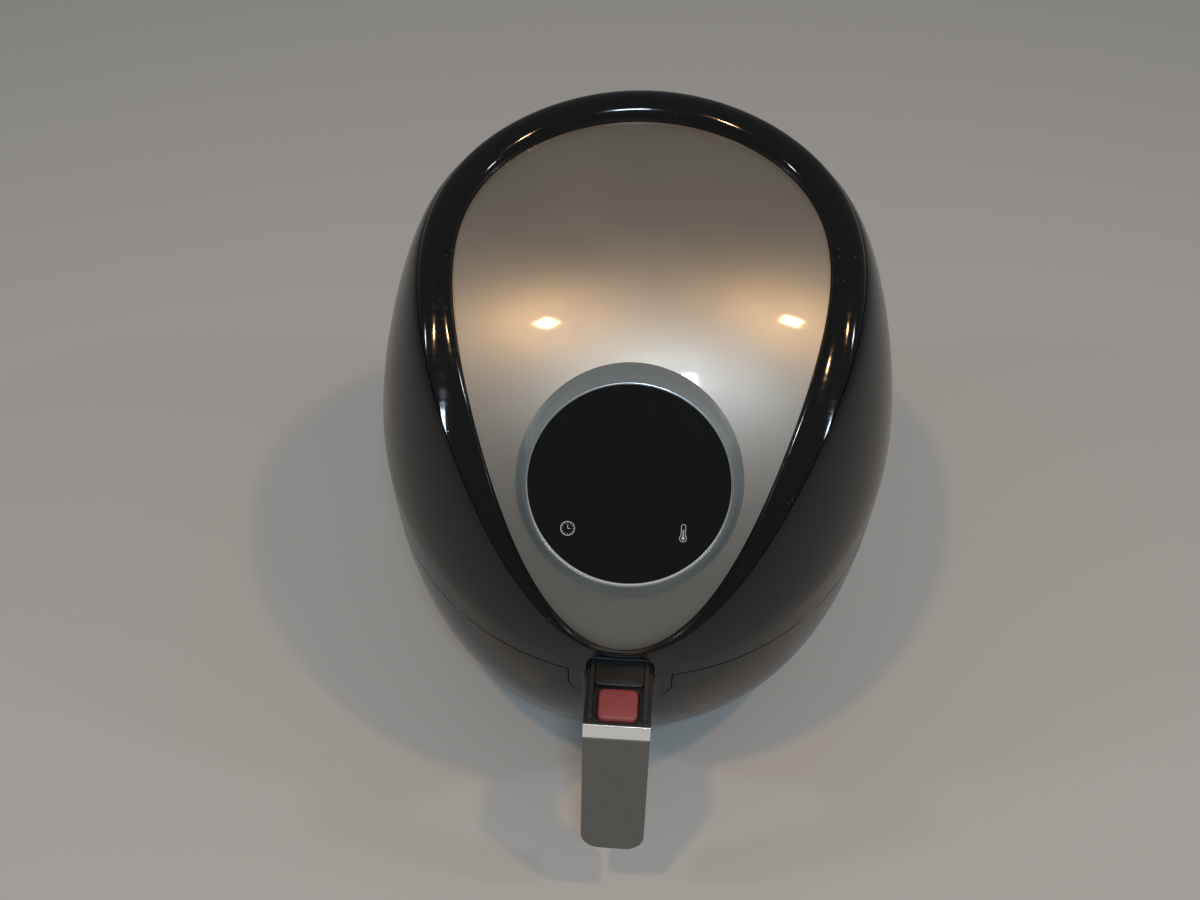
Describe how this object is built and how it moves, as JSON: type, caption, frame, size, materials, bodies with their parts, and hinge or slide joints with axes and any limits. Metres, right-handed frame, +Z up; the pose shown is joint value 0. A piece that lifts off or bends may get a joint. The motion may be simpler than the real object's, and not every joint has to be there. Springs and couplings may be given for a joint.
{
  "type": "air fryer",
  "caption": "Egg-shaped countertop air fryer: pull-out drawer with basket and handle, slanted touch display on a drop-shaped silver top panel, hot-air fan inside.",
  "frame": {"origin": "the middle of the footprint, handle included, on the surface that the feet stand on", "axes": "+Z up; -Y is the front, towards which the drawer slides out; +X is to the right of someone who looks at the front from -Y"},
  "size_m": [0.28, 0.359, 0.3142],
  "materials": {
    "gloss_shell": "polished, slightly scratched",
    "gloss_rim": "high gloss",
    "silver_panel": "satin silver paint",
    "silver_bezel": "fine satin silver",
    "bright_trim": "bright",
    "display_glass": "polished black screen",
    "black_plastic": "fine texture",
    "grey_handle": "soft satin",
    "red_button": "satin",
    "smoked_guard": "smoked",
    "rubber": "matte",
    "coated_sheet": "non-stick coating",
    "plated_sheet": "bright sheet",
    "heater_sheath": "heat-darkened",
    "cast_fan": "stamped",
    "bronze": "sintered",
    "motor_can": "semi-gloss",
    "circuit_board": "solder mask",
    "fastener": "plated"
  },
  "bodies": {
    "housing": {"upper_housing": "gloss_shell", "top_rim": "gloss_rim", "top_panel": "silver_panel", "display_bezel": "silver_bezel", "glass_ring": "bright_trim", "display_glass": "display_glass", "display_holder": "black_plastic", "control_board": "circuit_board", "handle_pocket": "black_plastic", "rear_grille": "black_plastic", "exhaust_duct": "plated_sheet", "lower_housing": "gloss_shell", "front_frame": "black_plastic", "chamber_liner": "plated_sheet", "chamber_floor": "plated_sheet", "drawer_runners": "plated_sheet", "base_tray": "black_plastic", "rubber_feet": "rubber", "base_screws": "fastener", "cord_gland": "black_plastic", "chamber_top": "plated_sheet", "heat_dome": "plated_sheet", "heating_coil": "heater_sheath", "coil_guard": "plated_sheet", "motor": "motor_can", "motor_bracket": "plated_sheet", "shaft_bushes": "bronze", "power_board": "circuit_board", "board_bracket": "plated_sheet", "thermal_cutout": "fastener", "air_sensor": "fastener", "drawer_switch": "black_plastic"},
    "fan": {"fan_shaft": "fastener", "hot_fan": "cast_fan", "cooling_fan": "black_plastic"},
    "drawer": {"drawer_front": "gloss_shell", "drawer_frame": "black_plastic", "outer_pan": "coated_sheet", "fry_basket": "coated_sheet", "basket_bracket": "plated_sheet", "handle_saddle": "black_plastic", "handle_body": "black_plastic", "handle_cover": "grey_handle", "corner_trim": "bright_trim", "handle_screws": "fastener", "latch_pin": "fastener", "button_spring": "fastener"},
    "button": {"release_button": "red_button"},
    "latch": {"release_latch": "plated_sheet"},
    "guard": {"button_guard": "smoked_guard"}
  },
  "joints": [
    {"name": "drawer_slide", "type": "slide", "parent": "housing", "child": "drawer", "axis": [0, -1, 0], "range_m": [0, 0.2]},
    {"name": "fan_spin", "type": "hinge", "parent": "housing", "child": "fan", "pos_m": [0, 0.0315, 0.2], "axis": [0, 0, 1], "continuous": true},
    {"name": "button_press", "type": "slide", "parent": "drawer", "child": "button", "axis": [0, 0, -1], "range_m": [0, 0.0025], "stiffness_N_per_m": 400, "springref_m": -0.001, "deforming": ["button_spring"]},
    {"name": "latch_tilt", "type": "hinge", "parent": "drawer", "child": "latch", "pos_m": [0, -0.1245, 0.1345], "axis": [1, 0, 0], "range_deg": [0, 14]},
    {"name": "guard_slide", "type": "slide", "parent": "drawer", "child": "guard", "axis": [0, -1, 0], "range_m": [0, 0.0175]}
  ],
  "couplings": [
    {"joint": "latch_tilt", "follows": "button_press", "rad_per_m": 95}
  ]
}
